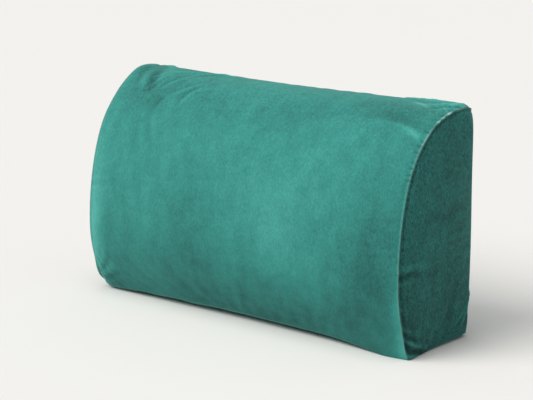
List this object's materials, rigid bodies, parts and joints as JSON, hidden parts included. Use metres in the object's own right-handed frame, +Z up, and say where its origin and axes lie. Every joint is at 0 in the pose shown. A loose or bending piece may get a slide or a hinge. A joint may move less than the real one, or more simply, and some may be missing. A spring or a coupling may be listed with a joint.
{
  "type": "lumbar support pillow",
  "caption": "Long D-shaped back support pillow in plain velvet, with a convex front, a flat back, sewn end panels and a flat base it stands on.",
  "frame": {"origin": "on the base plane, under the middle of the pillow's outer box", "axes": "+X along the length, -Y out of the convex front, +Y out of the flat back, +Z up"},
  "size_m": [0.6126, 0.1888, 0.3464],
  "materials": {
    "velvet_cover": "soft short-pile velvet, emerald to teal green, lighter where the pile is seen at a low angle"
  },
  "bodies": {
    "root": {"lumbar_pillow": "velvet_cover"}
  },
  "joints": []
}
